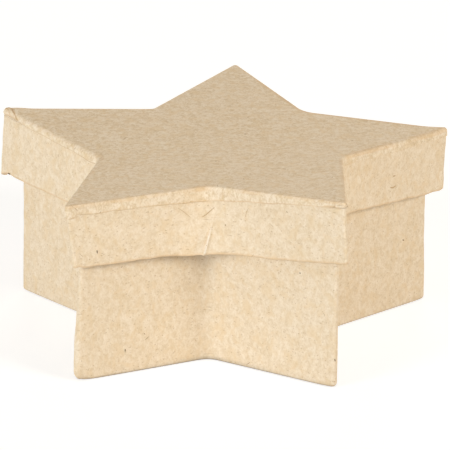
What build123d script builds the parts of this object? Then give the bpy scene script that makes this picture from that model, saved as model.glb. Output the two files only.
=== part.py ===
from build123d import *
import math
import os

# Papier-mache star box: a five-armed box of folded card with a lift-off lid, in millimetres.
# The box stands on the plane z = 0, its middle on the Z axis, with one arm pointing along +Y.
# Base and lid are each a strip of card folded into a star, glued to a flat star panel of card.
# A sheet of paper covers the lid's panel and is turned down over the top of its strip.

# Driving dimensions
arm_count = 5
box_height = 50.0  # table to the top of the closed lid
base_tip_radius = 60.0  # middle of the box to the unrounded tip of an arm, on the outside of the base
base_valley_radius = 29.5  # middle of the box to the unrounded valley between two arms
skirt_depth = 17.0  # top of the lid down to the lower edge of its skirt

# Card and paper
wall_thickness = 1.5
floor_thickness = 1.5
skirt_thickness = 1.5
panel_thickness = 1.5
paper_thickness = 0.3
lap_depth = 3.6  # top of the lid down to the edge of the turned-down paper

# Fit of the lid over the base, measured along the arm and along the valley
tip_clearance = 1.2
valley_clearance = 3.0

# Folds: the radius on the outside of the star
tip_fold = 0.8  # the card is grooved here, so that its inside folds to a sharp corner
base_valley_fold = 4.0
lid_valley_fold = 6.0  # at the lid's panel, where the glue holds the skirt in the valley
sprung_valley_fold = 30.0  # at the skirt's free edge, which springs out of the valley

# Edges that aren't cut square, as the rim and the skirt's free edge are
foot_round = 0.6  # along the base's lower edge
paper_bevel = 0.4  # where the paper bends over the edge of the lid's panel

# Heights that follow from the dimensions above
panel_top = box_height - paper_thickness
panel_underside = panel_top - panel_thickness
skirt_edge_height = box_height - skirt_depth
lap_edge_height = box_height - lap_depth

half_arm_angle = math.pi / arm_count


class Star:
    """A star outline by its unrounded radii and the radii that round its tips and valleys.

    Tips and valleys stay sharp where their radius isn't above zero.
    """

    def __init__(self, tip_radius, valley_radius, tip_round, valley_round):
        self.tip_radius = tip_radius
        self.valley_radius = valley_radius
        self.tip_round = tip_round
        self.valley_round = valley_round

    def side_distance(self):
        """Distance from the middle of the star to the line of any of its sides."""
        side = math.sqrt(
            self.tip_radius**2
            + self.valley_radius**2
            - 2 * self.tip_radius * self.valley_radius * math.cos(half_arm_angle)
        )
        return self.tip_radius * self.valley_radius * math.sin(half_arm_angle) / side

    def grown(self, distance):
        """The star with every side moved out by a distance, or in by a negative one."""
        scale = 1 + distance / self.side_distance()
        return Star(
            self.tip_radius * scale,
            self.valley_radius * scale,
            self.tip_round + distance,
            self.valley_round - distance,
        )

    def face(self, height):
        """The flat face inside the outline, facing up, at a height above the table."""
        corners = []
        for step in range(2 * arm_count):
            radius = self.valley_radius if step % 2 else self.tip_radius
            angle = math.pi / 2 + step * half_arm_angle
            corners.append((radius * math.cos(angle), radius * math.sin(angle)))
        outline = make_face(Polyline(*corners, close=True))
        between = (self.tip_radius + self.valley_radius) / 2
        tips = [v for v in outline.vertices() if math.hypot(v.X, v.Y) > between]
        valleys = [v for v in outline.vertices() if math.hypot(v.X, v.Y) < between]
        rounded = fillet(tips, self.tip_round) if self.tip_round > 0 else outline
        if self.valley_round > 0:
            near = [rounded.vertices().sort_by_distance(v)[0] for v in valleys]
            rounded = fillet(near, self.valley_round)
        return Pos(0, 0, height) * rounded


def prism(star, low, high):
    """The upright solid inside a star outline between two heights."""
    return extrude(star.face(low), high - low, dir=(0, 0, 1))


def outer_edges_at(solid, height):
    """The edges that run round the outside of a solid in a level plane."""
    top_face = solid.faces().filter_by_position(Axis.Z, height, height).sort_by(SortBy.AREA)[-1]
    return top_face.outer_wire().edges()


# Outside and inside of the base's folded strip
base_outside = Star(base_tip_radius, base_valley_radius, tip_fold, base_valley_fold)
base_inside = base_outside.grown(-wall_thickness)

# Inside of the lid's folded strip where the panel holds it, and at its free edge
lid_inside = Star(
    base_tip_radius + tip_clearance,
    base_valley_radius + valley_clearance,
    tip_fold - skirt_thickness,
    lid_valley_fold + skirt_thickness,
)
free_inside = Star(
    lid_inside.tip_radius,
    lid_inside.valley_radius,
    tip_fold - skirt_thickness,
    sprung_valley_fold + skirt_thickness,
)


def skirt_space(distance):
    """The sprung solid inside the skirt, grown by a distance, from its free edge up to the panel."""
    return loft(
        [
            free_inside.grown(distance).face(skirt_edge_height),
            lid_inside.grown(distance).face(panel_underside),
        ],
        ruled=True,
    )


def base_wall():
    """The strip of card folded into the star that stands round the floor."""
    wall = prism(base_outside, 0, panel_underside) - prism(base_inside, 0, panel_underside)
    return fillet(outer_edges_at(wall, 0), foot_round)


def base_floor():
    """The star panel glued inside the wall, level with its lower edge."""
    return prism(base_inside, 0, floor_thickness)


def lid_skirt():
    """The strip of card folded into a wider star, glued under the lid's panel."""
    return skirt_space(skirt_thickness) - skirt_space(0)


def lid_panel():
    """The star panel on top of the skirt, cut level with the skirt's outside."""
    return prism(lid_inside.grown(skirt_thickness), panel_underside, panel_top)


def lid_paper():
    """The sheet that covers the panel and is turned down over the top of the skirt."""
    papered = skirt_thickness + paper_thickness
    lap = skirt_space(papered) - skirt_space(skirt_thickness)
    lap = split(lap, Plane.XY.offset(lap_edge_height), keep=Keep.TOP)
    cover = prism(lid_inside.grown(papered), panel_underside, box_height) - lid_panel()
    return chamfer(outer_edges_at(cover + lap, box_height), paper_bevel)


os.makedirs("parts", exist_ok=True)
for make in (base_wall, base_floor, lid_skirt, lid_panel, lid_paper):
    export_step(make(), f"parts/{make.__name__}.step")
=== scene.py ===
import math

import bpy
import numpy as np
from mathutils import Matrix, Vector, geometry
from mathutils.bvhtree import BVHTree


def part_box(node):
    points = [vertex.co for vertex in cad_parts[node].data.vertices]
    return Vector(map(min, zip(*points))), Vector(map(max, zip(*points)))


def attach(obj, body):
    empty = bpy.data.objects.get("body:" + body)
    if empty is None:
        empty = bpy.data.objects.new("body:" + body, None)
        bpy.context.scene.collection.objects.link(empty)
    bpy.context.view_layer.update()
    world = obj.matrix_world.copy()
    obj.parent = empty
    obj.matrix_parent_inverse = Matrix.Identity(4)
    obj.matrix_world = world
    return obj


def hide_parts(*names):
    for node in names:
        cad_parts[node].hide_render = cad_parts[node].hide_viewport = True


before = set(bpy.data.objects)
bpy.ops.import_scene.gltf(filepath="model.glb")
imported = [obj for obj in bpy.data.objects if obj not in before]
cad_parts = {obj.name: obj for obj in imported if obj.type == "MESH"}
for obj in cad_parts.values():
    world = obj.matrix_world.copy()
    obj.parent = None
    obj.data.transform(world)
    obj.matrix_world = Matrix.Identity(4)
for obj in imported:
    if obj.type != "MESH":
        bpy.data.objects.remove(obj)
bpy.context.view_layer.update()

scene = bpy.context.scene

# Units and levels, in metres
MM = 0.001
base_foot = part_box("base_wall")[0].z
base_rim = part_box("base_wall")[1].z
floor_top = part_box("base_floor")[1].z
skirt_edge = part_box("lid_skirt")[0].z
panel_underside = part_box("lid_panel")[0].z
lid_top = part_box("lid_paper")[1].z

# Star outlines, from the middle of the box to the unrounded corners on the outside of each strip
base_tip_radius = 60.0 * MM
base_valley_radius = 29.5 * MM
skirt_tip_radius = 64.3 * MM
skirt_valley_radius = 34.2 * MM

# Card and paper
wall_thickness = 1.5 * MM
skirt_thickness = 1.2 * MM
paper_thickness = 0.22 * MM
glue_overlap = 0.05 * MM
rim_round = 0.4 * MM
skirt_edge_round = 0.35 * MM
foot_wear_reach = 2.5 * MM
smallest_bend = 0.15 * MM
cap_spacing = 1.7 * MM  # of the points inside a flat star
FILL_INSIDE, MERGE_DISTANCE = 1, 1e-9  # how such a star is cut into triangles

# Rows of the pieces' grids
skirt_outer_rows = 36
skirt_inner_rows = 18
panel_edge_rows = 5
top_edge_rows = 8
lap_rows = 20
foot_rows = 6
wall_outer_rows = 60
wall_inner_rows = 26

# Corners of a star, counter-clockwise from the back: tips and valleys take turns
CORNER_NAMES = (
    "back tip", "back left valley", "left tip", "left valley", "front left tip",
    "front valley", "front right tip", "right valley", "right tip", "back right valley",
)
CORNERS = len(CORNER_NAMES)
IS_TIP = np.arange(CORNERS) % 2 == 0

# How the hand-folded strips leave the regular star, in millimetres, in that order of corners:
# shifts to the right, shifts away from the viewer, and rises
LID_TOP_RIGHT = (0.1, 0.0, 0.1, 1.0, 1.0, -0.2, -1.6, 0.9, 0.0, 1.0)
LID_FREE_RIGHT = (0.0, 0.3, -1.2, 0.5, 2.9, 2.0, -0.6, 0.5, -0.15, 0.4)
LID_AWAY = (0.0,) * CORNERS
BASE_RIM_RIGHT = (0.0, 0.0, 1.25, 0.0, 1.6, -0.4, -0.2, 0.0, -0.9, 0.0)
BASE_RIM_AWAY = (0.0, 0.0, 0.0, 0.0, 0.0, 0.0, 0.5, 0.0, 0.0, 0.0)
BASE_FOOT_RIGHT = (0.0, 0.0, 0.8, 0.0, -0.3, -0.6, -0.6, 0.0, -0.6, 0.0)
BASE_FOOT_AWAY = (0.0, 0.0, -2.0, -1.2, -2.1, -0.9, -0.5, -0.6, 0.2, 0.0)
LID_TOP_RISE = (1.0, -0.2, 1.6, -0.9, 0.1, 0.5, 3.4, 1.1, -0.8, 0.2)
LID_FREE_RISE = (0.3, 0.0, 0.1, -1.0, -0.3, -0.4, 3.1, 1.0, -1.5, 0.2)
BASE_RIM_RISE = (-0.7, -1.0, -0.6, -1.2, -0.9, -0.6, -0.4, -0.6, -1.0, -0.9)

# Outside radii of the bends, in millimetres: tight in the tips, sprung open in the skirt's valleys
LID_TOP_BEND = (0.7, 2.5, 0.7, 4.0, 0.7, 6.0, 0.7, 5.0, 0.7, 7.0)
LID_FREE_BEND = (0.7, 18.0, 0.7, 14.0, 0.8, 30.0, 0.7, 12.0, 0.8, 20.0)
BASE_RIM_BEND = (1.0, 4.0, 1.0, 4.0, 1.0, 4.0, 1.0, 4.0, 1.0, 4.0)
BASE_FOOT_BEND = (1.0, 4.0, 1.0, 4.0, 1.3, 5.0, 1.0, 4.0, 1.0, 4.0)

# Edges, in millimetres: the rounding of the foot, its wear at the tips, the rounding of the lid's top,
# and the depth of the paper turned down over the skirt
BASE_FOOT_ROUND = (0.7, 0.7, 0.8, 0.7, 0.9, 0.5, 0.8, 0.7, 0.8, 0.7)
TIP_FOOT_WEAR = (0.4, 0.0, 0.2, 0.0, 2.1, 0.0, 0.8, 0.0, 0.4, 0.0)
TOP_EDGE_ROUND = (0.5, 0.5, 0.9, 1.3, 0.5, 0.7, 0.5, 0.6, 1.0, 0.5)
LAP_DEPTH = (3.4, 3.4, 1.3, 2.4, 2.6, 3.8, 1.2, 2.6, 2.3, 3.2)

# Wear of the paper, corner by corner: along the fold at the lid's top and along its cut edge
FOLD_WEAR = (0.3, 0.3, 0.3, 0.2, 0.3, 0.3, 0.4, 0.8, 0.8, 1.9)
CUT_WEAR = (1.3, 1.3, 1.6, 3.0, 0.4, 1.0, 1.9, 0.7, 0.5, 1.2)

# Share of the card's colour that painted shade hides at the very foot of the base, corner by corner: the
# dark line where the card curves under into shade
FOOT_SHADE_SHARES = (0.3, 0.2, 0.2, 0.1, 0.65, 1.0, 0.6, 0.1, 0.35, 0.2)

# Curls of the lid's top and of the skirt's free edge near tips, in millimetres:
# rise, distance from the tip and width
TOP_CURLS = (("right tip", 0.45, 0.0, 3.0),)
FREE_EDGE_CURLS = (
    ("left tip", -0.9, 0.0, 1.5),
    ("left tip", 0.4, 5.0, 1.8),
    ("front left tip", 0.35, 2.2, 0.8),
    ("right tip", 0.7, 0.0, 1.0),
)

# Swells of the folded card and of the paper: height and wavelength in millimetres, and a seed,
# and the shares of the wavelength between which single waves differ
WAVE_SHARES = (0.7, 1.5)
SKIRT_SWELLS = ((0.2, 30, 3), (0.06, 6, 4))
FREE_EDGE_SWELLS = ((0.07, 5, 5),)
LID_TOP_SWELLS = ((0.22, 34, 11), (0.03, 8, 12))
LAP_SWELLS = ((0.14, 9, 21), (0.06, 2.5, 22))
LUMP_SWELLS = ((0.05, 3, 24),)
FOLD_SWELLS = ((0.25, 3, 25),)
BASE_SWELLS = ((0.25, 36, 31), (0.05, 7, 32))
FLOOR_SWELLS = ((0.06, 20, 41),)


def unit(vectors):
    """Vectors of length 1 in the same directions."""
    return vectors / np.linalg.norm(vectors, axis=-1, keepdims=True)


def right_of(vectors):
    """Vectors in the plane turned a quarter to the right."""
    return np.stack([vectors[..., 1], -vectors[..., 0]], axis=-1)


def turn_between(first, second):
    """Signed angle from one direction in the plane to another."""
    cross = first[..., 0] * second[..., 1] - first[..., 1] * second[..., 0]
    return np.arctan2(cross, np.sum(first * second, axis=-1))


def rotated(vectors, angle):
    """Vectors in the plane turned to the left by an angle."""
    cosine, sine = np.cos(angle), np.sin(angle)
    x, y = vectors[..., 0], vectors[..., 1]
    return np.stack([x * cosine - y * sine, x * sine + y * cosine], axis=-1)


def eased(share):
    """A share from 0 to 1 that starts and ends slowly."""
    share = np.clip(share, 0, 1)
    return share * share * (3 - 2 * share)


def rising(value, start, reach):
    """0 up to a start, and eased from there to 1 over a reach."""
    return eased((value - start) / reach)


def bump(distance, width):
    """A smooth hump of height 1 around distance 0."""
    return np.exp(-0.5 * (distance / width) ** 2)


def humps(distance, table, scale=MM):
    """Smooth humps that add up, each by its height, and by its place and width in a scale."""
    return sum(height * bump(distance - place * scale, width * scale) for height, place, width in table)


def ripple(points, wavelength, seed, waves=9):
    """Smooth irregular waves through space, about 1 high."""
    rng = np.random.default_rng(seed)
    directions = unit(rng.normal(size=(waves, 3)))
    phases = rng.uniform(0, math.tau, waves)
    lengths = wavelength * rng.uniform(*WAVE_SHARES, waves)
    total = np.zeros(points.shape[:-1])
    for direction, phase, length in zip(directions, phases, lengths):
        total += np.sin(points @ direction * math.tau / length + phase)
    return total / math.sqrt(waves)


def uneven(points, swells):
    """Irregular waves through space that several swells add up to."""
    return sum(height * MM * ripple(points, length * MM, seed) for height, length, seed in swells)


def level_points(places):
    """Places in the plane as points in space."""
    return np.column_stack([places, np.zeros(len(places))])


class Columns:
    """Where the upright lines of a strip's grid stand along its star outline."""

    def __init__(self, tip_count, valley_count, side_count, crowding):
        columns = []
        for index in range(CORNERS):
            count = tip_count if IS_TIP[index] else valley_count
            for across in np.linspace(-1, 1, count):
                columns.append((index, 0.5 + 0.5 * math.copysign(abs(across) ** crowding, across), True))
            for share in np.linspace(0, 1, side_count + 2)[1:-1]:
                crowded = share**crowding if IS_TIP[index] else 1 - (1 - share) ** crowding
                columns.append((index, crowded, False))
        self.corner, self.along, self.bend = map(np.array, zip(*columns))
        self.count = len(columns)


class Strip:
    """A strip folded into a star, whose outside runs from a top outline to a lower one."""

    def __init__(self, columns, radii, top_shift, low_shift, top_bend, low_bend):
        self.columns = columns
        angles = math.pi / 2 + np.arange(CORNERS) * math.tau / CORNERS
        corner_radii = np.where(IS_TIP, *radii)[:, None]
        regular = corner_radii * np.stack([np.cos(angles), np.sin(angles)], axis=1)
        self.top_places = regular + np.transpose(top_shift) * MM
        self.low_places = regular + np.transpose(low_shift) * MM
        self.top_bend = np.array(top_bend) * MM
        self.low_bend = np.array(low_bend) * MM
        zeros = np.zeros((1, columns.count))
        self.border = self.outline(zeros, zeros)[0][0]
        self.level_border = level_points(self.border)  # for waves that run round it
        self.station = self.stations()

    def outline(self, share, outset):
        """Points and outward directions at shares from the top to the lower edge, moved out by outsets."""
        places = self.top_places + (self.low_places - self.top_places) * share[..., None, None]
        bends = self.top_bend + (self.low_bend - self.top_bend) * share[..., None]
        coming = unit(places - np.roll(places, 1, axis=-2))
        going = np.roll(coming, -1, axis=-2)
        turn = turn_between(coming, going)
        sides = right_of(coming), right_of(going)
        mitre = (sides[0] + sides[1]) / (1 + np.sum(sides[0] * sides[1], axis=-1, keepdims=True))
        places = places + mitre * outset[..., None, None]
        bends = np.maximum(bends + np.where(IS_TIP, 1, -1) * outset[..., None], smallest_bend)
        reach = bends * np.tan(np.abs(turn) / 2)

        columns = self.columns
        order = np.arange(columns.count)
        here = (slice(None), order, columns.corner)
        after = (slice(None), order, (columns.corner + 1) % CORNERS)
        outward = rotated(sides[0][here], turn[here] * columns.along)
        signed_bend = (bends[here] * np.sign(turn[here]))[..., None]
        centre = places[here] - coming[here] * reach[here][..., None] - sides[0][here] * signed_bend
        begin = places[here] + going[here] * reach[here][..., None]
        end = places[after] - going[here] * reach[after][..., None]
        on_side = begin + (end - begin) * columns.along[:, None]
        is_bend = columns.bend[:, None]
        points = np.where(is_bend, centre + outward * signed_bend, on_side)
        return points, np.where(is_bend, outward, sides[1][here])

    def stations(self):
        """Where the columns of the top outline lie, counted in corners and shares of the sides."""
        corner = self.columns.corner
        here = self.top_places[corner]
        shares = []
        for step in (1, -1):
            side = self.top_places[(corner + step) % CORNERS] - here
            share = np.sum((self.border - here) * side, axis=1) / np.sum(side**2, axis=1)
            shares.append(step * np.maximum(share, 0))
        past = ~self.columns.bend | (self.columns.along >= 0.5)
        return corner + np.where(past, *shares)

    def spread(self, values):
        """Values given at the corners, run straight along the sides between them."""
        values = np.asarray(values, float)
        low = np.floor(self.station).astype(int)
        share = self.station - low
        return values[low % CORNERS] * (1 - share) + values[(low + 1) % CORNERS] * share

    def place_of(self, corner):
        """Place of a corner of the top outline, by its name."""
        return self.top_places[CORNER_NAMES.index(corner)]

    def distance_from(self, corner):
        """Distance of each column of the top outline from a corner."""
        return np.linalg.norm(self.border - self.place_of(corner), axis=1)


def new_object(name, data):
    """A mesh, camera or lamp put into the scene."""
    thing = bpy.data.objects.new(name, data)
    scene.collection.objects.link(thing)
    return thing


def mark(mesh, name, values):
    """Keep a value at each vertex of a mesh for the material."""
    attribute = mesh.attributes.new(name, "FLOAT", "POINT")
    attribute.data.foreach_set("value", np.ravel(values).astype(np.float32))


def new_piece(name, vertices, faces, edge):
    """A smooth mesh object that keeps its wear, with painted highlights and shade, for the material: brown
    above 0, white below.
    """
    mesh = bpy.data.meshes.new(name)
    mesh.from_pydata(np.reshape(vertices, (-1, 3)).tolist(), [], faces)
    mesh.polygons.foreach_set("use_smooth", [True] * len(mesh.polygons))
    mark(mesh, "edge", edge)
    mesh.update()
    return new_object(name, mesh)


def grid_faces(row_count, column_count, closed):
    """Quads between neighbouring rows of a grid whose rows close on themselves."""
    faces = []
    for row in range(row_count if closed else row_count - 1):
        above = row * column_count
        below = (row + 1) % row_count * column_count
        for column in range(column_count):
            beside = (column + 1) % column_count
            faces.append((above + column, below + column, below + beside, above + beside))
    return faces


def around(border, values, places):
    """Values along a border, read off in the direction of each place from the middle."""
    angle = np.arctan2(border[:, 1], border[:, 0])
    order = np.argsort(angle)
    directions = np.arctan2(places[:, 1], places[:, 0])
    return np.interp(directions, angle[order], values[order], period=math.tau)


def reach_around(border, places):
    """Distance from the middle to a border, in the direction of each place."""
    return around(border, np.hypot(border[:, 0], border[:, 1]), places)


def cap(border, height_at, first, upward):
    """Points inside a closed border, numbered from first, and triangles that fill it."""
    low, high = border[:, :2].min(axis=0), border[:, :2].max(axis=0)
    places = []
    for row, y in enumerate(np.arange(low[1], high[1], cap_spacing)):
        for x in np.arange(low[0], high[0], cap_spacing):
            places.append((x + row % 2 * cap_spacing / 2, y))
    places = np.array(places)
    inside = np.hypot(places[:, 0], places[:, 1]) < reach_around(border, places) - cap_spacing
    places = places[inside]
    count = len(border)
    ring = [(index, (index + 1) % count) for index in range(count)]
    flat = [Vector(place) for place in np.concatenate([border[:, :2], places])]
    _, _, triangles, originals, _, _ = geometry.delaunay_2d_cdt(flat, ring, [], FILL_INSIDE, MERGE_DISTANCE)
    faces = []
    for triangle in triangles:
        numbers = [min(originals[corner]) for corner in triangle]
        numbers = [number if number < count else number - count + first for number in numbers]
        faces.append(tuple(numbers if upward else reversed(numbers)))
    return np.column_stack([places, height_at(places)]), faces


def closed_sheet(name, rows, upper_height, lower_height, edge):
    """A closed piece from rows that run from its upper to its lower border."""
    row_count, columns = rows.shape[:2]
    vertices = [rows.reshape(-1, 3)]
    faces = grid_faces(row_count, columns, closed=False)
    total = row_count * columns
    for row, height_at, upward in ((0, upper_height, True), (row_count - 1, lower_height, False)):
        inner, triangles = cap(rows[row], height_at, total, upward)
        for triangle in triangles:
            faces.append(tuple(n + row * columns if n < columns else n for n in triangle))
        vertices.append(inner)
        total += len(inner)
    marks = np.zeros(total)
    marks[: row_count * columns] = np.ravel(edge)
    return new_piece(name, np.concatenate(vertices), faces, marks)


def quarter_round(radius, count):
    """Places round an edge, as distances from the face it starts on and the one it ends on."""
    angles = np.linspace(0, math.pi / 2, count)
    return [(radius * (1 - math.cos(angle)), radius * (1 - math.sin(angle))) for angle in angles]


def round_the_edge(thickness, radius, count=5):
    """Insets and setbacks of a rounded card edge, from one face across to the other."""
    near = quarter_round(radius, count)
    far = [(thickness - inset, setback) for inset, setback in reversed(near)]
    return near + far


class Rows:
    """Rows of a strip's grid, each with a value for every column or one for all."""

    def __init__(self, column_count):
        self.column_count = column_count
        self.rows = []

    def add(self, level, outset, edge):
        self.rows.append([np.broadcast_to(value, self.column_count) for value in (level, outset, edge)])

    def arrays(self):
        """Levels, outsets, and wear with painted highlights and shade, each as rows of columns."""
        return np.array(self.rows, float).transpose(1, 0, 2)


# The lid's strip, how far its top lies above its level, and the rounding of its top edge
lid_strip = Strip(
    Columns(tip_count=9, valley_count=81, side_count=64, crowding=1.6),
    (skirt_tip_radius, skirt_valley_radius),
    (LID_TOP_RIGHT, LID_AWAY), (LID_FREE_RIGHT, LID_AWAY), LID_TOP_BEND, LID_FREE_BEND,
)
lid_columns = lid_strip.columns.count


def curled(rises, curls):
    """Rises round the lid from those at its corners, with the curls near its tips."""
    rise = lid_strip.spread(rises)
    for corner, *curl in curls:
        rise = rise + humps(lid_strip.distance_from(corner), [curl])
    return rise * MM


lid_rise = curled(LID_TOP_RISE, TOP_CURLS)
top_edge_round = lid_strip.spread(TOP_EDGE_ROUND) * MM

# The buckle of the skirt in the front valley, which leans from its top to its foot
crease_top = 1.9 * MM
crease_foot = -1.3 * MM
crease_curve = 1.4  # above 1, the ridge bends more towards its foot
crease_width = 0.28 * MM
crease_height = 0.75 * MM
dimple_width = 1.1 * MM
dimple_offset = 1.5 * MM
dimple_share = 0.6  # of the ridge's height
buckle_reach = 15 * MM
nub_depth = 0.5 * MM
nub_width = 0.6 * MM

# Shares of the skirt's depth at which the buckle, its wear and the painted highlight and shade along it
# start, and over which they grow
CREASE_SHARES = (0.3, 0.55)
RIDGE_WEAR_AND_HIGHLIGHT_SHARES = (0.4, 0.35)
BESIDE_SHADE_SHARES = (0.4, 0.4)
TORN_SHARES = (0.92, 0.05)

# Wear where the card is torn at the buckle's foot; humps of white on the ridge, partly wear where the card
# broke and partly painted highlight;
# and humps of painted shade beside it: by amount, and by place and width in widths of the ridge
torn_wear = 1.3
RIDGE_WEAR_AND_HIGHLIGHT = ((0.9, 0.0, 0.7),)
BESIDE_SHADE = ((0.9, -2.3, 0.6), (0.45, 2.3, 0.6))


def crease_distance(places, share):
    """Distance to the right of the buckle's ridge, for places near the front valley."""
    valley = lid_strip.place_of("front valley")
    ridge = valley[0] + crease_top + (crease_foot - crease_top) * share**crease_curve
    near = np.hypot(places[..., 0] - valley[0], places[..., 1] - valley[1]) < buckle_reach
    return np.where(near, places[..., 0] - ridge, np.inf)


def front_buckle(places, share):
    """The sharp ridge in the front valley, with a dimple to its left."""
    across = crease_distance(places, share)
    relief = bump(across, crease_width) - dimple_share * bump(across + dimple_offset, dimple_width)
    return rising(share, *CREASE_SHARES) * crease_height * relief


def crease_wear_and_shade(places, share):
    """Along the buckle: white on its ridge, partly wear where the card broke and partly painted highlight,
    and white where it is torn at its foot; painted shade in brown beside it.
    """
    across = crease_distance(places, share)
    white = humps(across, RIDGE_WEAR_AND_HIGHLIGHT, crease_width) * rising(share, *RIDGE_WEAR_AND_HIGHLIGHT_SHARES)
    torn = torn_wear * bump(across, nub_width) * rising(share, *TORN_SHARES)
    flank_shade = humps(across, BESIDE_SHADE, crease_width) * rising(share, *BESIDE_SHADE_SHARES)
    return flank_shade - np.maximum(white, torn)


def free_edge_rise():
    """Rise of the skirt's free edge: uneven, curled at tips, torn at the buckle."""
    rise = curled(LID_FREE_RISE, FREE_EDGE_CURLS)
    rise = rise + uneven(lid_strip.level_border, FREE_EDGE_SWELLS)
    return rise - nub_depth * bump(crease_distance(lid_strip.border, 1.0), nub_width)


# The skirt: its heights round the lid, and the wear of its free edge
skirt_low = skirt_edge + free_edge_rise()
skirt_high = panel_underside + lid_rise
skirt_swell_share = 0.5  # of the skirt's depth, over which its swells grow from the glued top
free_edge_wear = 1.3


def skirt_surface(share, outset):
    """Points of the skirt at shares of its depth, moved out of its outside."""
    places, outward = lid_strip.outline(share, outset)
    height = skirt_high + (skirt_low - skirt_high) * share
    points = np.concatenate([places, height[..., None]], axis=-1)
    swell = uneven(points, SKIRT_SWELLS) * eased(share / skirt_swell_share)
    swell = swell + front_buckle(places, share)
    points[..., :2] += outward * swell[..., None]
    return points


def build_skirt():
    """The strip of card that hangs from the lid's panel."""
    depth = panel_underside - skirt_edge
    rows = Rows(lid_columns)
    straight = 1 - skirt_edge_round / depth
    for share in np.linspace(0, straight, skirt_outer_rows)[:-1]:
        rows.add(share, 0, 0)
    for inset, setback in round_the_edge(skirt_thickness, skirt_edge_round):
        rows.add(1 - setback / depth, -inset, free_edge_wear)
    for share in np.linspace(straight, 0, skirt_inner_rows)[1:]:
        rows.add(share, -skirt_thickness, 0)
    shares, outsets, edge = rows.arrays()
    points = skirt_surface(shares, outsets)
    # The buckle's wear, painted highlight and painted shade go on the outside of the skirt only
    edge = edge + (outsets > -skirt_thickness / 2) * crease_wear_and_shade(points, shares)
    faces = grid_faces(len(shares), lid_columns, closed=True)
    return new_piece("lid_skirt_card", points, faces, edge)


def lid_level(level):
    """A function for the height of a level of the lid, which bends towards its corners."""

    def height_at(places):
        rise = around(lid_strip.border, lid_rise, places)
        reach = reach_around(lid_strip.border, places)
        share = np.minimum(np.hypot(places[:, 0], places[:, 1]) / reach, 1)
        return level + rise * share**2 + uneven(level_points(places), LID_TOP_SWELLS) * (1 - share**4)

    return height_at


def lid_surface(depths, outsets):
    """Points round the lid at depths below its top, moved out of the outside of the skirt."""
    panel_depth = lid_top - panel_underside
    share = np.clip((depths - panel_depth) / (panel_underside - skirt_edge), 0, 1)
    points = skirt_surface(share, outsets)
    points[..., 2] = np.where(depths < panel_depth, lid_top - depths + lid_rise, points[..., 2])
    return points


def panel_edge():
    """Depths and insets of the panel's rounded upper edge, from its side up to its top."""
    radius = np.maximum(top_edge_round - paper_thickness, smallest_bend)
    edge = reversed(quarter_round(radius, panel_edge_rows))
    return [(paper_thickness + drop, glue_overlap + inset) for drop, inset in edge]


def build_panel():
    """The star of card under the lid's paper."""
    rows = Rows(lid_columns)
    for depth, inset in reversed(panel_edge()):
        rows.add(depth, -inset, 0)
    rows.add(lid_top - panel_underside, -glue_overlap, 0)
    depths, outsets, edge = rows.arrays()
    points = lid_surface(depths, outsets)
    upper, lower = lid_level(lid_top - paper_thickness), lid_level(panel_underside)
    return closed_sheet("lid_panel_card", points, upper, lower, edge)


# The paper's edge on the skirt: a deeper patch on the front left tip, and a lifted, lumpy cut
patch_reach = 3.0 * MM
patch_step = 0.6 * MM
patch_depth = 0.9 * MM
PATCH_WEAR = ((1.0, 2.7, 0.3),)  # humps by wear, place and width in millimetres, as below
lap_lift = 0.03 * MM
lap_lift_wave = 12 * MM
lap_lump_share = 0.5  # of the lap's depth, over which its lumps grow from the fold
cut_slant = 0.02 * MM
CUT_SHARES = (0.6, 0.2, -0.1)  # of the paper's thickness, for the rows across its cut

# The paper gathered beside the front right tip, with a painted highlight on it, painted highlights and
# shade on its wrinkles and painted shade in a line at its end, and frayed behind that
GATHER = ((1.0, 1.6, 0.8),)
gather_height = 0.35 * MM
gather_wrinkle_wave = 1.3 * MM
gather_wrinkle_share = 0.6  # of the gather's height
GATHER_END_SHADE = ((3.0, 3.2, 0.15),)
gather_highlight = -1.0
wrinkle_light_and_shade = -1.5
FRAY_SHARES = ((0.35, 4.8, 1.2),)  # of the lap's depth

# Wear of the paper: how it changes round the lid, and how far it reaches from the fold and the cut
fold_wear_change = 0.4
fold_wear_wave = 9 * MM
most_fold_wear = 2.0
fold_wear_reach = 1.2 * MM
fold_wear_share = 0.25  # of the lap's depth, as the next two
cut_wear_start_share = 0.85
cut_wear_reach_share = 0.1
cut_wear_change = 0.5
cut_wear_wave = 14 * MM

# Rows on the lid's top near its edge, as insets in millimetres
TOP_ROW_INSETS = (2.2, 1.75, 1.3, 0.85, 0.4)

# The paper folded over at the left tip, with its swell and the painted shade in its creases as humps
fold_reach = 2.6 * MM
fold_step = 0.4 * MM
fold_height = 0.3 * MM
FOLD_START = (0.5 * MM, 2 * MM)
FOLD_END = (6 * MM, 4 * MM)
FOLD_HUMPS = ((0.25, 3.8, 1.8),)
FOLD_CREASE_SHADE = ((3.0, 0.0, 0.2), (2.1, 1.3, 0.15))
fold_wrinkle_height = 0.1 * MM
fold_wrinkle_wave = 1.5 * MM
fold_wrinkle_reach = 2 * MM


def turned_down_depth():
    """Depth of the paper's edge below the lid's top: uneven, and deeper in a patch on one tip."""
    depth = lid_strip.spread(LAP_DEPTH) * MM + uneven(lid_strip.level_border, LAP_SWELLS)
    patch = eased((patch_reach - lid_strip.distance_from("front left tip")) / patch_step)
    return depth + patch_depth * patch


def tip_fold(points):
    """The paper folded over at the left tip: its rise, and the painted shade in its creases."""
    tip = lid_strip.place_of("left tip")
    offset = points[..., :2] - tip
    back = -offset @ unit(tip)
    across = offset @ right_of(unit(tip))
    to_fold = fold_reach - back - across + uneven(points, FOLD_SWELLS)
    near = 1 - rising(np.linalg.norm(offset, axis=-1), *FOLD_END)
    fold = eased(to_fold / fold_step) * rising(back, *FOLD_START)
    wrinkle = np.clip(ripple(points, fold_wrinkle_wave, seed=26), -1, 1)
    wrinkle = wrinkle * eased(to_fold / fold_wrinkle_reach)
    raised = fold_height * fold + humps(back, FOLD_HUMPS) * MM + fold_wrinkle_height * wrinkle
    return near * raised, near * humps(to_fold, FOLD_CREASE_SHADE)


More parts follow.
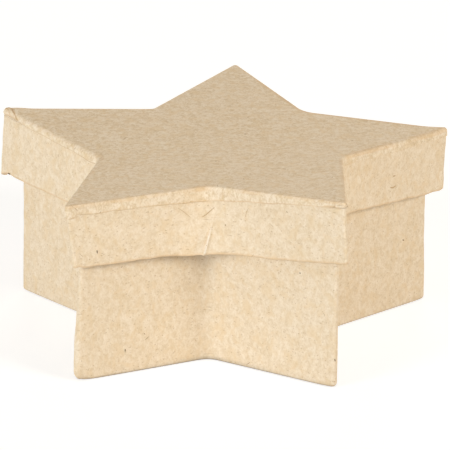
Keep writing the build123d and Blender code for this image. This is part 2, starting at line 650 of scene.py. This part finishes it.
def paper_wear():
    """Wear round the lid along the paper's fold and along its cut edge."""
    border = lid_strip.level_border
    fold_waves = fold_wear_change * ripple(border, fold_wear_wave, seed=28)
    fold_wear = np.clip(lid_strip.spread(FOLD_WEAR) + fold_waves, 0, most_fold_wear)
    cut_waves = cut_wear_change * np.clip(ripple(border, cut_wear_wave, seed=27), -1, 1)
    patch_wear = humps(lid_strip.distance_from("front left tip"), PATCH_WEAR)
    return fold_wear, lid_strip.spread(CUT_WEAR) + cut_waves + patch_wear


def add_top_rows(rows, fold_wear):
    """Rows of the paper near the edge of the lid's top and round that edge."""
    for inset in TOP_ROW_INSETS:
        wear = fold_wear * eased(1 - inset * MM / fold_wear_reach)
        rows.add(0, paper_thickness - top_edge_round - inset * MM, wear)
    for drop, inset in quarter_round(top_edge_round, top_edge_rows):
        rows.add(drop, paper_thickness - inset, fold_wear)


def add_lap_rows(rows, depth, lifted, fold_wear, cut_wear):
    """Rows of the paper turned down over the skirt, from its fold to its cut edge."""
    border = lid_strip.level_border
    from_tip = lid_strip.distance_from("front right tip")
    gather = humps(from_tip, GATHER)
    wrinkle = gather * ripple(border, gather_wrinkle_wave, seed=29)
    # Painted light on the gather: a painted highlight on its bulge, painted highlights on its wrinkle
    # crests, painted shade in their troughs and a line of painted shade past its end
    gather_light_and_shade = humps(from_tip, GATHER_END_SHADE) + gather_highlight * gather + wrinkle_light_and_shade * wrinkle
    lumps = uneven(border, LUMP_SWELLS) + gather_height * (gather + gather_wrinkle_share * wrinkle)
    cut_start = cut_wear_start_share - humps(from_tip, FRAY_SHARES)
    for share in np.linspace(0, 1, lap_rows)[1:]:
        grown = eased(share / lap_lump_share)
        wear = fold_wear * eased(1 - share / fold_wear_share)
        wear = wear + cut_wear * rising(share, cut_start, cut_wear_reach_share) + gather_light_and_shade * grown
        level = top_edge_round + (depth - top_edge_round) * share
        rows.add(level, paper_thickness + lifted * share**3 + lumps * grown, wear)


def build_paper():
    """The sheet over the lid's panel, turned down over the top of the skirt."""
    depth = turned_down_depth()
    lifted = lap_lift * np.clip(ripple(lid_strip.level_border, lap_lift_wave, seed=23), 0, 2)
    fold_wear, cut_wear = paper_wear()
    rows = Rows(lid_columns)
    add_top_rows(rows, fold_wear)
    add_lap_rows(rows, depth, lifted, fold_wear, cut_wear)
    outer_rows = len(rows.rows)
    for share in CUT_SHARES:
        rows.add(depth + cut_slant, (paper_thickness + lifted) * share, cut_wear)
    for depth_below, inset in panel_edge():
        rows.add(depth_below, -inset, 0)
    depths, outsets, edge = rows.arrays()
    points = lid_surface(depths, outsets)
    raised, fold_crease_shade = tip_fold(points)
    outer = (np.arange(len(depths)) < outer_rows)[:, None]
    points[..., 2] += outer * raised
    # Painted shade in the creases of the fold at the left tip
    edge = np.where(outer, np.maximum(edge, fold_crease_shade), edge)
    upper, lower = lid_level(lid_top), lid_level(lid_top - paper_thickness)
    return closed_sheet("lid_cover_paper", points, upper, lower, edge)


# The base's strip, the rounding and the heel of its foot, and its rim
base_strip = Strip(
    Columns(tip_count=9, valley_count=23, side_count=44, crowding=1.25),
    (base_tip_radius, base_valley_radius),
    (BASE_RIM_RIGHT, BASE_RIM_AWAY), (BASE_FOOT_RIGHT, BASE_FOOT_AWAY), BASE_RIM_BEND, BASE_FOOT_BEND,
)
base_columns = base_strip.columns.count
foot_round = base_strip.spread(BASE_FOOT_ROUND) * MM
for corner, wear in zip(CORNER_NAMES, TIP_FOOT_WEAR):
    foot_round += wear * MM * bump(base_strip.distance_from(corner), foot_wear_reach)
heel_inset = np.maximum(wall_thickness, foot_round + glue_overlap)
wall_top = base_rim + base_strip.spread(BASE_RIM_RISE) * MM

# The base's wall: the height at which its swells are full, a painted dark line of shade on the rounding of
# its foot, the wear of its rim, and painted shade along its foot that fades above it
base_swell_height = 12 * MM
foot_shade_line = 1.5
rim_wear = 1.0
foot_shade_height = 0.7 * MM
shade_haze_height = 2.5 * MM
shade_haze_share = 0.15  # of the painted shade at the foot that reaches above it


def base_surface(heights, outsets):
    """Points of the base's wall at heights, moved out of its outside."""
    share = 1 - (heights - base_foot) / (base_rim - base_foot)
    places, outward = base_strip.outline(share, outsets)
    points = np.concatenate([places, heights[..., None]], axis=-1)
    swell = uneven(points, BASE_SWELLS) * eased((heights - base_foot) / base_swell_height)
    points[..., :2] += outward * swell[..., None]
    return points


def painted_foot_shade(heights):
    """Share of the wall's colour that painted shade hides at the foot, with a fainter haze of painted shade
    above it.
    """
    lift = heights - base_foot
    fading = np.clip(1 - lift / foot_shade_height, 0, 1) + shade_haze_share * eased(1 - lift / shade_haze_height)
    return base_strip.spread(FOOT_SHADE_SHARES) * fading


def build_wall():
    """The strip of card that stands round the base's floor."""
    rows = Rows(base_columns)
    # The foot's rounding carries a painted dark line of shade, darkest next to the floor
    for lift, inset in quarter_round(foot_round, foot_rows):
        rows.add(base_foot + lift, -inset, foot_shade_line * (1 - lift / foot_round) ** 2)
    low, high = base_foot + foot_round, wall_top - rim_round
    for share in np.linspace(0, 1, wall_outer_rows)[1:]:
        rows.add(low + (high - low) * share, 0, 0)
    for inset, setback in round_the_edge(wall_thickness, rim_round)[1:]:
        rows.add(wall_top - setback, -inset, rim_wear)
    for share in np.linspace(1, 0, wall_inner_rows)[1:]:
        rows.add(floor_top + (high - floor_top) * share, -wall_thickness, 0)
    rows.add(base_foot, -heel_inset, 0)
    heights, outsets, edge = rows.arrays()
    points = base_surface(heights, outsets)
    faces = [face[::-1] for face in grid_faces(len(heights), base_columns, closed=True)]
    wall = new_piece("base_wall_card", points, faces, edge)
    # Painted shade along the foot of the wall, kept for the material
    mark(wall.data, "painted_shade", painted_foot_shade(heights))
    return wall


def build_floor():
    """The star of card glued inside the base's wall."""
    rows = Rows(base_columns)
    rows.add(floor_top, glue_overlap - wall_thickness, 0)
    rows.add(base_foot, glue_overlap - heel_inset, 0)
    heights, outsets, edge = rows.arrays()
    points = base_surface(heights, outsets)

    def upper(places):
        return floor_top + uneven(level_points(places), FLOOR_SWELLS)

    def lower(places):
        return np.full(len(places), base_foot)

    return closed_sheet("base_floor_card", points, upper, lower, edge)


# Colours of the pulp; of worn places and painted shade; of broken places and painted highlights; of the
# painted shade at the base's foot; and of plant fibres, whose brown also serves for deep wear and painted
# shade
PULP_PALE = (0.845, 0.732, 0.592)
PULP_DEEP = (0.655, 0.506, 0.323)
GOLDEN = (0.745, 0.573, 0.36)
EDGE_BROWN_AND_SHADE = (0.70, 0.46, 0.235)
BROKEN_WHITE_AND_HIGHLIGHT = (0.93, 0.86, 0.76)
PAINTED_SHADE_COLOUR = (0.27, 0.22, 0.165)
FIBRE_BROWN = (0.47, 0.31, 0.165)
HAIR_BROWN = (0.58, 0.41, 0.24)
HAIR_BLACK = (0.09, 0.065, 0.045)

# The pulp's noises: size of the clouds, detail, roughness and distortion
CLOUD = (4 * MM, 3.0)
MOTTLE = (1.2 * MM, 3.0, 0.65, 0.5)
GRAIN = (0.42 * MM, 1.0)
PATCH = (2.6 * MM, 2.0, 0.6, 0.8)
PATTERN_SHIFT = (0.4, 0.7)
upright_stretch = 1.3  # of the pattern along the height of the strips

# How the noises make up the colour
mottle_share = 0.65  # of the weave, whose rest is grain
weave_share = 0.88  # of the tone, whose rest is cloud
middle_tone = 0.5
deep_spread = 0.26
pale_spread = 0.18
PATCH_RANGE = (0.42, 0.74)
golden_share = 0.55

# Wear, and the painted highlights and shade that the same marks carry: from none to full, the most that it
# covers of the colour as a share, and its colour
WEAR_AND_PAINTED_LIGHT_SHARES = (
    (0.0, -1.0, 0.7, BROKEN_WHITE_AND_HIGHLIGHT),
    (0.0, 1.0, 0.35, EDGE_BROWN_AND_SHADE),
    (1.0, 3.0, 0.8, FIBRE_BROWN),
)

# Relief and sheen of the surface
relief_strength = 0.28
relief_depth = 0.25 * MM
fibre_relief_share = 0.3  # of the weave's relief
MOTTLE_RANGE = (0.2, 0.8)
ROUGHNESS_RANGE = (0.82, 0.96)
specular_level = 0.2

# Short fibres of the pulp: the directions in which they lie, as turns in degrees, and their size
FIBRE_TURNS = ((0, 0, 20), (0, 35, 100), (0, 90, 0), (40, 60, 60))
FIBRE_SIZE = (2.2 * MM, 0.18 * MM, 0.18 * MM)
fibre_bend = 0.9 * MM
fibre_bend_size = 2.5 * MM
fibre_share = 0.3  # of its cell's length that a fibre fills
fibre_layer_gap = 0.31
fibre_layer_rise = 0.7
FIBRE_EDGE = (0.24, 0.1)  # distance in a cell from bare to full
FIBRE_KINDS = (0.6, 1.0)  # random value of a cell from bare to full


class Nodes:
    """Short calls for a node tree that starts out empty."""

    def __init__(self, tree):
        self.tree = tree
        self.tree.nodes.clear()

    def put(self, socket, value):
        if isinstance(value, bpy.types.NodeSocket):
            self.tree.links.new(value, socket)
        else:
            socket.default_value = (*value, 1) if socket.type == "RGBA" else value

    def add(self, kind, inputs=None, **settings):
        node = self.tree.nodes.new("ShaderNode" + kind)
        for key, value in settings.items():
            setattr(node, key, value)
        for key, value in (inputs or {}).items():
            self.put(node.inputs[key], value)
        return node.outputs

    def math(self, operation, first, second):
        return self.add("Math", {0: first, 1: second}, operation=operation)[0]

    def vector(self, operation, first, second):
        return self.add("VectorMath", {0: first, 1: second}, operation=operation)[0]

    def blend(self, first, second, first_share):
        """Two values added up, the first by its share and the second by the rest."""
        first = self.math("MULTIPLY", first, first_share)
        return self.math("ADD", first, self.math("MULTIPLY", second, 1 - first_share))

    def mapped(self, value, low, high, to_low=0.0, to_high=1.0):
        """A value eased from one range to another, and held at the ends."""
        inputs = {"Value": value, "From Min": low, "From Max": high, "To Min": to_low, "To Max": to_high}
        return self.add("MapRange", inputs, interpolation_type="SMOOTHSTEP")[0]

    def noise(self, vector, size, detail=2.0, roughness=0.55, distortion=0.0):
        """Cloudy noise with clouds of about a size, in metres."""
        inputs = {"Vector": vector, "Scale": 1 / size, "Detail": detail, "Roughness": roughness}
        inputs["Distortion"] = distortion
        return self.add("TexNoise", inputs)["Fac"]

    def marked(self, name):
        """The value that the vertices of a mesh keep under a name, or 0."""
        return self.add("Attribute", attribute_name=name)["Fac"]

    def mix(self, share, first, second):
        return self.add("Mix", {0: share, 6: first, 7: second}, data_type="RGBA")[2]


def new_material(name):
    material = bpy.data.materials.new(name)
    material.use_nodes = True
    return material, Nodes(material.node_tree)


def short_fibres(nodes, place, shift):
    """Where short brown fibres show, in a few directions."""
    wander = nodes.add("TexNoise", {"Vector": place, "Scale": 1 / fibre_bend_size, "Detail": 1.0})
    wander = nodes.vector("MULTIPLY", wander["Color"], (fibre_bend,) * 3)
    curved = nodes.vector("ADD", place, wander)
    shown = 0.0
    for number, turn in enumerate(FIBRE_TURNS):
        turned = nodes.add("Mapping", {
            "Vector": curved,
            "Rotation": tuple(math.radians(angle) for angle in turn),
            "Location": (shift, number * fibre_layer_gap, shift * fibre_layer_rise),
            "Scale": tuple(fibre_share / size for size in FIBRE_SIZE),
        })[0]
        cells = nodes.add("TexVoronoi", {"Vector": turned, "Scale": 1.0, "Randomness": 1.0})
        kind = nodes.add("SeparateColor", {"Color": cells["Color"]})[0]
        fibre = nodes.mapped(cells["Distance"], *FIBRE_EDGE)
        fibre = nodes.math("MULTIPLY", fibre, nodes.mapped(kind, *FIBRE_KINDS))
        shown = nodes.math("MAXIMUM", fibre, shown)
    return shown


def worn_and_shaded(nodes, colour):
    """A colour with wear, painted highlights and painted shade on it, and painted shade at the base's foot.
    """
    edge = nodes.marked("edge")
    for none, full, share, covering in WEAR_AND_PAINTED_LIGHT_SHARES:
        colour = nodes.mix(nodes.mapped(edge, none, full, 0.0, share), colour, covering)
    return nodes.mix(nodes.marked("painted_shade"), colour, PAINTED_SHADE_COLOUR)


def kraft(name, shift, contrast, fibre_tint_share):
    """Uncoated kraft: cloudy pulp, golden patches, mottle, grain and short brown fibres."""
    material, nodes = new_material(name)
    place = nodes.add("Mapping", {
        "Vector": nodes.add("TexCoord")["Object"],
        "Location": (shift, *PATTERN_SHIFT),
        "Scale": (1, 1, 1 / upright_stretch),
    })[0]
    mottle = nodes.noise(place, *MOTTLE)
    weave = nodes.blend(mottle, nodes.noise(place, *GRAIN), mottle_share)
    tone = nodes.blend(weave, nodes.noise(place, *CLOUD), weave_share)
    deepest, palest = middle_tone - deep_spread / contrast, middle_tone + pale_spread / contrast
    colour = nodes.mix(nodes.mapped(tone, deepest, palest), PULP_DEEP, PULP_PALE)
    patch = nodes.noise(place, *PATCH)
    colour = nodes.mix(nodes.mapped(patch, *PATCH_RANGE, 0.0, golden_share), colour, GOLDEN)
    fibres = short_fibres(nodes, place, shift)
    colour = nodes.mix(nodes.math("MULTIPLY", fibres, fibre_tint_share), colour, FIBRE_BROWN)
    relief = nodes.math("ADD", weave, nodes.math("MULTIPLY", fibres, fibre_relief_share))
    raised = nodes.add("Bump", {"Strength": relief_strength, "Distance": relief_depth, "Height": relief})[0]
    shader = nodes.add("BsdfPrincipled", {
        "Base Color": worn_and_shaded(nodes, colour),
        "Roughness": nodes.mapped(mottle, *MOTTLE_RANGE, *ROUGHNESS_RANGE),
        "Specular IOR Level": specular_level,
        "Normal": raised,
    })[0]
    nodes.add("OutputMaterial", {"Surface": shader})
    return material


# Materials by slot, and the pieces: the body that each rides, the node that it replaces, and its slot
materials = {
    "kraft_card": kraft("kraft card", shift=1.0, contrast=0.88, fibre_tint_share=0.58),
    "kraft_paper": kraft("kraft paper", shift=2.0, contrast=1.6, fibre_tint_share=0.35),
}
PIECES = (
    (build_wall, "base", "base_wall", "kraft_card"),
    (build_floor, "base", "base_floor", "kraft_card"),
    (build_skirt, "lid", "lid_skirt", "kraft_card"),
    (build_panel, "lid", "lid_panel", "kraft_card"),
    (build_paper, "lid", "lid_paper", "kraft_paper"),
)
ridden = {"base": [], "lid": []}
for build, body, node, slot in PIECES:
    piece = build()
    ridden[body].append(piece)
    piece.data.materials.append(materials[slot])
    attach(piece, body)
    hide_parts(node)

# Camera: where it stands round the box, in degrees and metres, and the photograph's framing in pixels
CAMERA_AZIMUTH = math.radians(3.758)
CAMERA_ELEVATION = math.radians(20.707)
CAMERA_ROLL = math.radians(0.339)
CAMERA_DISTANCE = 1.29
IMAGE_SIDE = 450
FOCAL_PIXELS = 4765.5
MIDDLE_PIXEL = (219.16, 230.88)
SENSOR_WIDTH = 36.0
box_middle = Vector((0, 0, lid_top / 2))


def direction_to(azimuth, elevation):
    """Direction from the box, by angles to the right of the front and above the table."""
    level = math.cos(elevation)
    return Vector((math.sin(azimuth) * level, -math.cos(azimuth) * level, math.sin(elevation)))


def add_camera():
    """The camera, turned so that the middle of the box falls on its pixel."""
    back = direction_to(CAMERA_AZIMUTH, CAMERA_ELEVATION)
    level = Vector((math.cos(CAMERA_AZIMUTH), math.sin(CAMERA_AZIMUTH), 0))
    right = level * math.cos(CAMERA_ROLL) + back.cross(level) * math.sin(CAMERA_ROLL)
    up = back.cross(right)
    eye = box_middle + back * CAMERA_DISTANCE
    pixel = CAMERA_DISTANCE / FOCAL_PIXELS
    aim = box_middle + right * (IMAGE_SIDE / 2 - MIDDLE_PIXEL[0]) * pixel
    aim += up * (MIDDLE_PIXEL[1] - IMAGE_SIDE / 2) * pixel
    back = (eye - aim).normalized()
    right = up.cross(back).normalized()
    up = back.cross(right)
    data = bpy.data.cameras.new("camera")
    data.sensor_width = SENSOR_WIDTH
    data.lens = SENSOR_WIDTH * FOCAL_PIXELS / IMAGE_SIDE
    camera = new_object("camera", data)
    camera.matrix_world = Matrix.Translation(eye) @ Matrix((right, up, back)).transposed().to_4x4()
    scene.camera = camera


add_camera()

# Hairs, flecks and thin creases that the photograph shows in the surface:
# width in millimetres, share of black in the colour, and path in pixels
# The thin creases among them are dark strips that paint the shade in those creases
HAIR_PIXELS = (
    (0.26, 0.05, ((202, 217), (205.4, 215.2), (209.4, 211.8), (214.4, 207.3))),
    (0.16, 0.0, ((178, 208), (184, 212), (190, 217))),
    (0.18, 0.0, ((248, 209), (246.5, 212), (245.5, 217))),
    (0.50, 1.0, ((8.0, 173.4), (10.2, 174.2))),
    (0.35, 0.9, ((97, 250.3), (97.4, 253.4))),
    (0.35, 0.8, ((334.6, 359), (335.4, 361.4))),
    (0.40, 0.5, ((402.6, 239.6), (404, 240.6))),
    (0.35, 0.8, ((299.4, 272.8), (300.6, 273.4))),
    (0.32, 0.8, ((125, 349), (125.4, 351.6))),
    (0.34, 0.3, ((225.2, 224.4), (225.8, 225.8))),
    (0.40, 0.5, ((243.4, 178.8), (244.4, 179.2))),
    (0.40, 0.5, ((244.6, 133.8), (245.6, 134.2))),
    (0.18, 0.4, ((145, 340), (149, 336.5))),
    (0.25, 0.3, ((286.5, 211), (287.5, 213))),
    (0.45, 0.0, ((390.5, 187.4), (393, 187.6), (396, 185.8))),
    (0.40, 0.0, ((393, 176.4), (395.5, 175.6))),
    (0.16, 0.1, ((70.4, 204.6), (72.4, 206.6), (75.4, 208.6), (77.8, 211.4))),
    # A dark strip in the crease beside the front right tip: painted shade
    (0.22, 0.1, ((345.6, 201.6), (346.6, 204.4), (348.2, 207.4))),
)

# Hairs strewn over each body: their number, and ranges in millimetres and in shares of black
SCATTERED_HAIRS = 170
HAIR_LENGTHS = (0.3, 1.6)
HAIR_WIDTHS = (0.1, 0.24)
HAIR_BLACK_SHARES = (0.0, 0.4)
HAIR_SEED = 50
hair_bend_share = 0.4  # of a hair's length

# Form and colour of a hair
HAIR_SIDES = 6
HAIR_STEPS = 7
hair_end_share = 0.35  # of its width in the middle
hair_flat_share = 0.4  # of its width that it is thick
hair_mottle_size = 0.3 * MM
HAIR_MOTTLE_RANGE = (0.3, 0.7)
hair_mottle_share = 0.4
hair_roughness = 0.85


class Surface:
    """The outside of the pieces that ride one body, for finding places on it."""

    def __init__(self, pieces):
        corners, faces = [], []
        for piece in pieces:
            first = len(corners)
            corners += [vertex.co.copy() for vertex in piece.data.vertices]
            faces += [[first + number for number in face.vertices] for face in piece.data.polygons]
        self.tree = BVHTree.FromPolygons(corners, faces)
        self.faces = [[corners[number] for number in face[:3]] for face in faces]
        areas = np.array([geometry.area_tri(*face) for face in self.faces])
        self.weights = areas / areas.sum()

    def random_place(self, rng):
        face = self.faces[rng.choice(len(self.faces), p=self.weights)]
        return sum(face, Vector()) / 3


def pixel_ray(x, y):
    """The camera's place and its direction through a pixel of the photograph."""
    seen = scene.camera.matrix_world
    ray = Vector((x - IMAGE_SIDE / 2, IMAGE_SIDE / 2 - y, -FOCAL_PIXELS))
    return seen.translation, (seen.to_3x3() @ ray).normalized()


def hair_mesh(path, width):
    """Vertices and faces of a closed, flat hair that tapers to both ends."""
    vertices = []
    count = len(path)
    for step, (place, normal) in enumerate(path):
        onward = (path[min(step + 1, count - 1)][0] - path[max(step - 1, 0)][0]).normalized()
        aside = onward.cross(normal).normalized()
        middle = math.sin(math.pi * (step + 0.5) / count)
        size = width / 2 * (hair_end_share + (1 - hair_end_share) * middle)
        for side in range(HAIR_SIDES):
            angle = math.tau * side / HAIR_SIDES
            spoke = aside * math.cos(angle) + normal * math.sin(angle) * hair_flat_share
            vertices.append(place + spoke * size)
    faces = [face[::-1] for face in grid_faces(count, HAIR_SIDES, closed=False)]
    faces.append(tuple(range(HAIR_SIDES))[::-1])
    faces.append(tuple(range((count - 1) * HAIR_SIDES, count * HAIR_SIDES)))
    return vertices, faces


def spread_pixels(pixels):
    """Pixels evenly spread along a path of a few."""
    steps = np.linspace(0, len(pixels) - 1, HAIR_STEPS)
    return zip(*(np.interp(steps, range(len(pixels)), line) for line in zip(*pixels)))


def seen_hairs(surfaces):
    """Hairs that the photograph shows: body, path, width and darkness of each."""
    for width, dark, pixels in HAIR_PIXELS:
        path, owner = [], None
        for pixel in spread_pixels(pixels):
            hits = [(surface.tree.ray_cast(*pixel_ray(*pixel)), body) for body, surface in surfaces.items()]
            hits = [(hit[3], hit[0], hit[1], body) for hit, body in hits if hit[0] is not None]
            if hits:
                _, place, normal, owner = min(hits, key=lambda hit: hit[0])
                path.append((place, normal))
        if len(path) > 1:
            yield owner, path, width * MM, dark


def scattered_hairs(surface, seed):
    """Small hairs strewn over a surface: path, width and darkness of each."""
    rng = np.random.default_rng(seed)
    for _ in range(SCATTERED_HAIRS):
        place = surface.random_place(rng)
        direction = Vector(unit(rng.normal(size=3)))
        bend = Vector(unit(rng.normal(size=3))) * hair_bend_share
        length = rng.uniform(*HAIR_LENGTHS) * MM
        path = []
        for step in range(HAIR_STEPS):
            share = step / (HAIR_STEPS - 1)
            path.append(surface.tree.find_nearest(place + (direction + bend * share) * share * length)[:2])
        yield path, rng.uniform(*HAIR_WIDTHS) * MM, rng.uniform(*HAIR_BLACK_SHARES)


def build_hairs(name, hairs):
    """One piece from the hairs of a body, without those too short to show."""
    vertices, faces, darkness = [], [], []
    for path, width, dark in hairs:
        if (path[-1][0] - path[0][0]).length < width / 2:
            continue
        hair_vertices, hair_faces = hair_mesh(path, width)
        faces += [tuple(number + len(vertices) for number in face) for face in hair_faces]
        vertices += hair_vertices
        darkness += [dark] * len(hair_vertices)
    return new_piece(name, vertices, faces, darkness)


def hair_material():
    """Brown plant fibre, darker where the hair is marked as dark."""
    material, nodes = new_material("plant fibre")
    place = nodes.add("TexCoord")["Object"]
    colour = nodes.mix(nodes.marked("edge"), HAIR_BROWN, HAIR_BLACK)
    mottle = nodes.noise(place, hair_mottle_size)
    mottle = nodes.mapped(mottle, *HAIR_MOTTLE_RANGE, 0.0, hair_mottle_share)
    colour = nodes.mix(mottle, colour, FIBRE_BROWN)
    shader = nodes.add("BsdfPrincipled", {"Base Color": colour, "Roughness": hair_roughness})[0]
    nodes.add("OutputMaterial", {"Surface": shader})
    return material


surfaces = {body: Surface(pieces) for body, pieces in ridden.items()}
hairs = {}
for body, surface in surfaces.items():
    hairs[body] = list(scattered_hairs(surface, HAIR_SEED + len(body)))
for body, *hair in seen_hairs(surfaces):
    hairs[body].append(hair)
fibre = hair_material()
for body, strewn in hairs.items():
    piece = build_hairs(f"{body}_hairs", strewn)
    piece.data.materials.append(fibre)
    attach(piece, body)

# Light, floor and background
WORLD_STRENGTH = 0.24
SKY_WHITE = (1.0, 0.86, 0.66)
WARM_WHITE = (1.0, 0.93, 0.83)
SOFT_WHITE = (1.0, 0.97, 0.905)
COOL_WHITE = (0.945, 0.985, 1.0)
PURE_WHITE = (1.0, 1.0, 1.0)
FLOOR_PALE = (0.8, 0.8, 0.8)
FLOOR_SHADED = (0.42, 0.42, 0.42)
FLOOR_GLOW = 0.72
FLOOR_SIZE = 6.0
FLOOR_GAP = 0.1 * MM
SOFT_BOX_SIZE = 0.6
SOFT_BOX_DISTANCE = 1.6

# Soft boxes: degrees to the right of the front and above the table, power in watts, and colour
SOFT_BOXES = (
    ("left light", -48, 12, 17.6, COOL_WHITE),
    ("right light", 59, 25, 15.3, SOFT_WHITE),
    ("top light", 0, 78, 2.2, WARM_WHITE),
    ("back light", 180, 12, 13.0, WARM_WHITE),
)


def by_sight(nodes, lighting, shown):
    """A shader that lights the box, and another that rays from the camera, gloss or glass see."""
    path = nodes.add("LightPath")
    seen = nodes.math("MAXIMUM", path["Is Camera Ray"], path["Is Glossy Ray"])
    seen = nodes.math("MAXIMUM", seen, path["Is Transmission Ray"])
    return nodes.add("MixShader", {0: seen, 1: lighting, 2: shown})[0]


def add_world():
    """A soft sky that lights the box, and looks white."""
    world = bpy.data.worlds.new("studio")
    world.use_nodes = True
    scene.world = world
    nodes = Nodes(world.node_tree)
    white = nodes.add("Background", {"Color": PURE_WHITE, "Strength": 1.0})[0]
    soft = nodes.add("Background", {"Color": SKY_WHITE, "Strength": WORLD_STRENGTH})[0]
    nodes.add("OutputWorld", {"Surface": by_sight(nodes, soft, white)})


def floor_material():
    """A pale floor that looks white, and keeps the shadow of the box."""
    material, nodes = new_material("pale floor")
    bounce = nodes.add("BsdfDiffuse", {"Color": FLOOR_PALE})[0]
    shaded = nodes.add("BsdfDiffuse", {"Color": FLOOR_SHADED})[0]
    glow = nodes.add("Emission", {"Color": PURE_WHITE, "Strength": FLOOR_GLOW})[0]
    shown = nodes.add("AddShader", {0: shaded, 1: glow})[0]
    nodes.add("OutputMaterial", {"Surface": by_sight(nodes, bounce, shown)})
    return material


def add_floor():
    """A wide square just under the base's foot."""
    half = FLOOR_SIZE / 2
    level = base_foot - FLOOR_GAP
    corners = [(x, y, level) for x, y in ((-half, -half), (half, -half), (half, half), (-half, half))]
    mesh = bpy.data.meshes.new("floor")
    mesh.from_pydata(corners, [], [(0, 1, 2, 3)])
    mesh.materials.append(floor_material())
    floor = new_object("floor", mesh)


def add_soft_box(name, azimuth, elevation, power, colour):
    """A square lamp that faces the middle of the box."""
    data = bpy.data.lights.new(name, "AREA")
    data.size = SOFT_BOX_SIZE
    data.energy = power
    data.color = colour
    lamp = new_object(name, data)
    back = direction_to(math.radians(azimuth), math.radians(elevation))
    lamp.location = box_middle + back * SOFT_BOX_DISTANCE
    lamp.rotation_euler = back.to_track_quat("Z", "Y").to_euler()


add_world()
add_floor()
for soft_box in SOFT_BOXES:
    add_soft_box(*soft_box)
bpy.context.scene.view_settings.view_transform = "Standard"
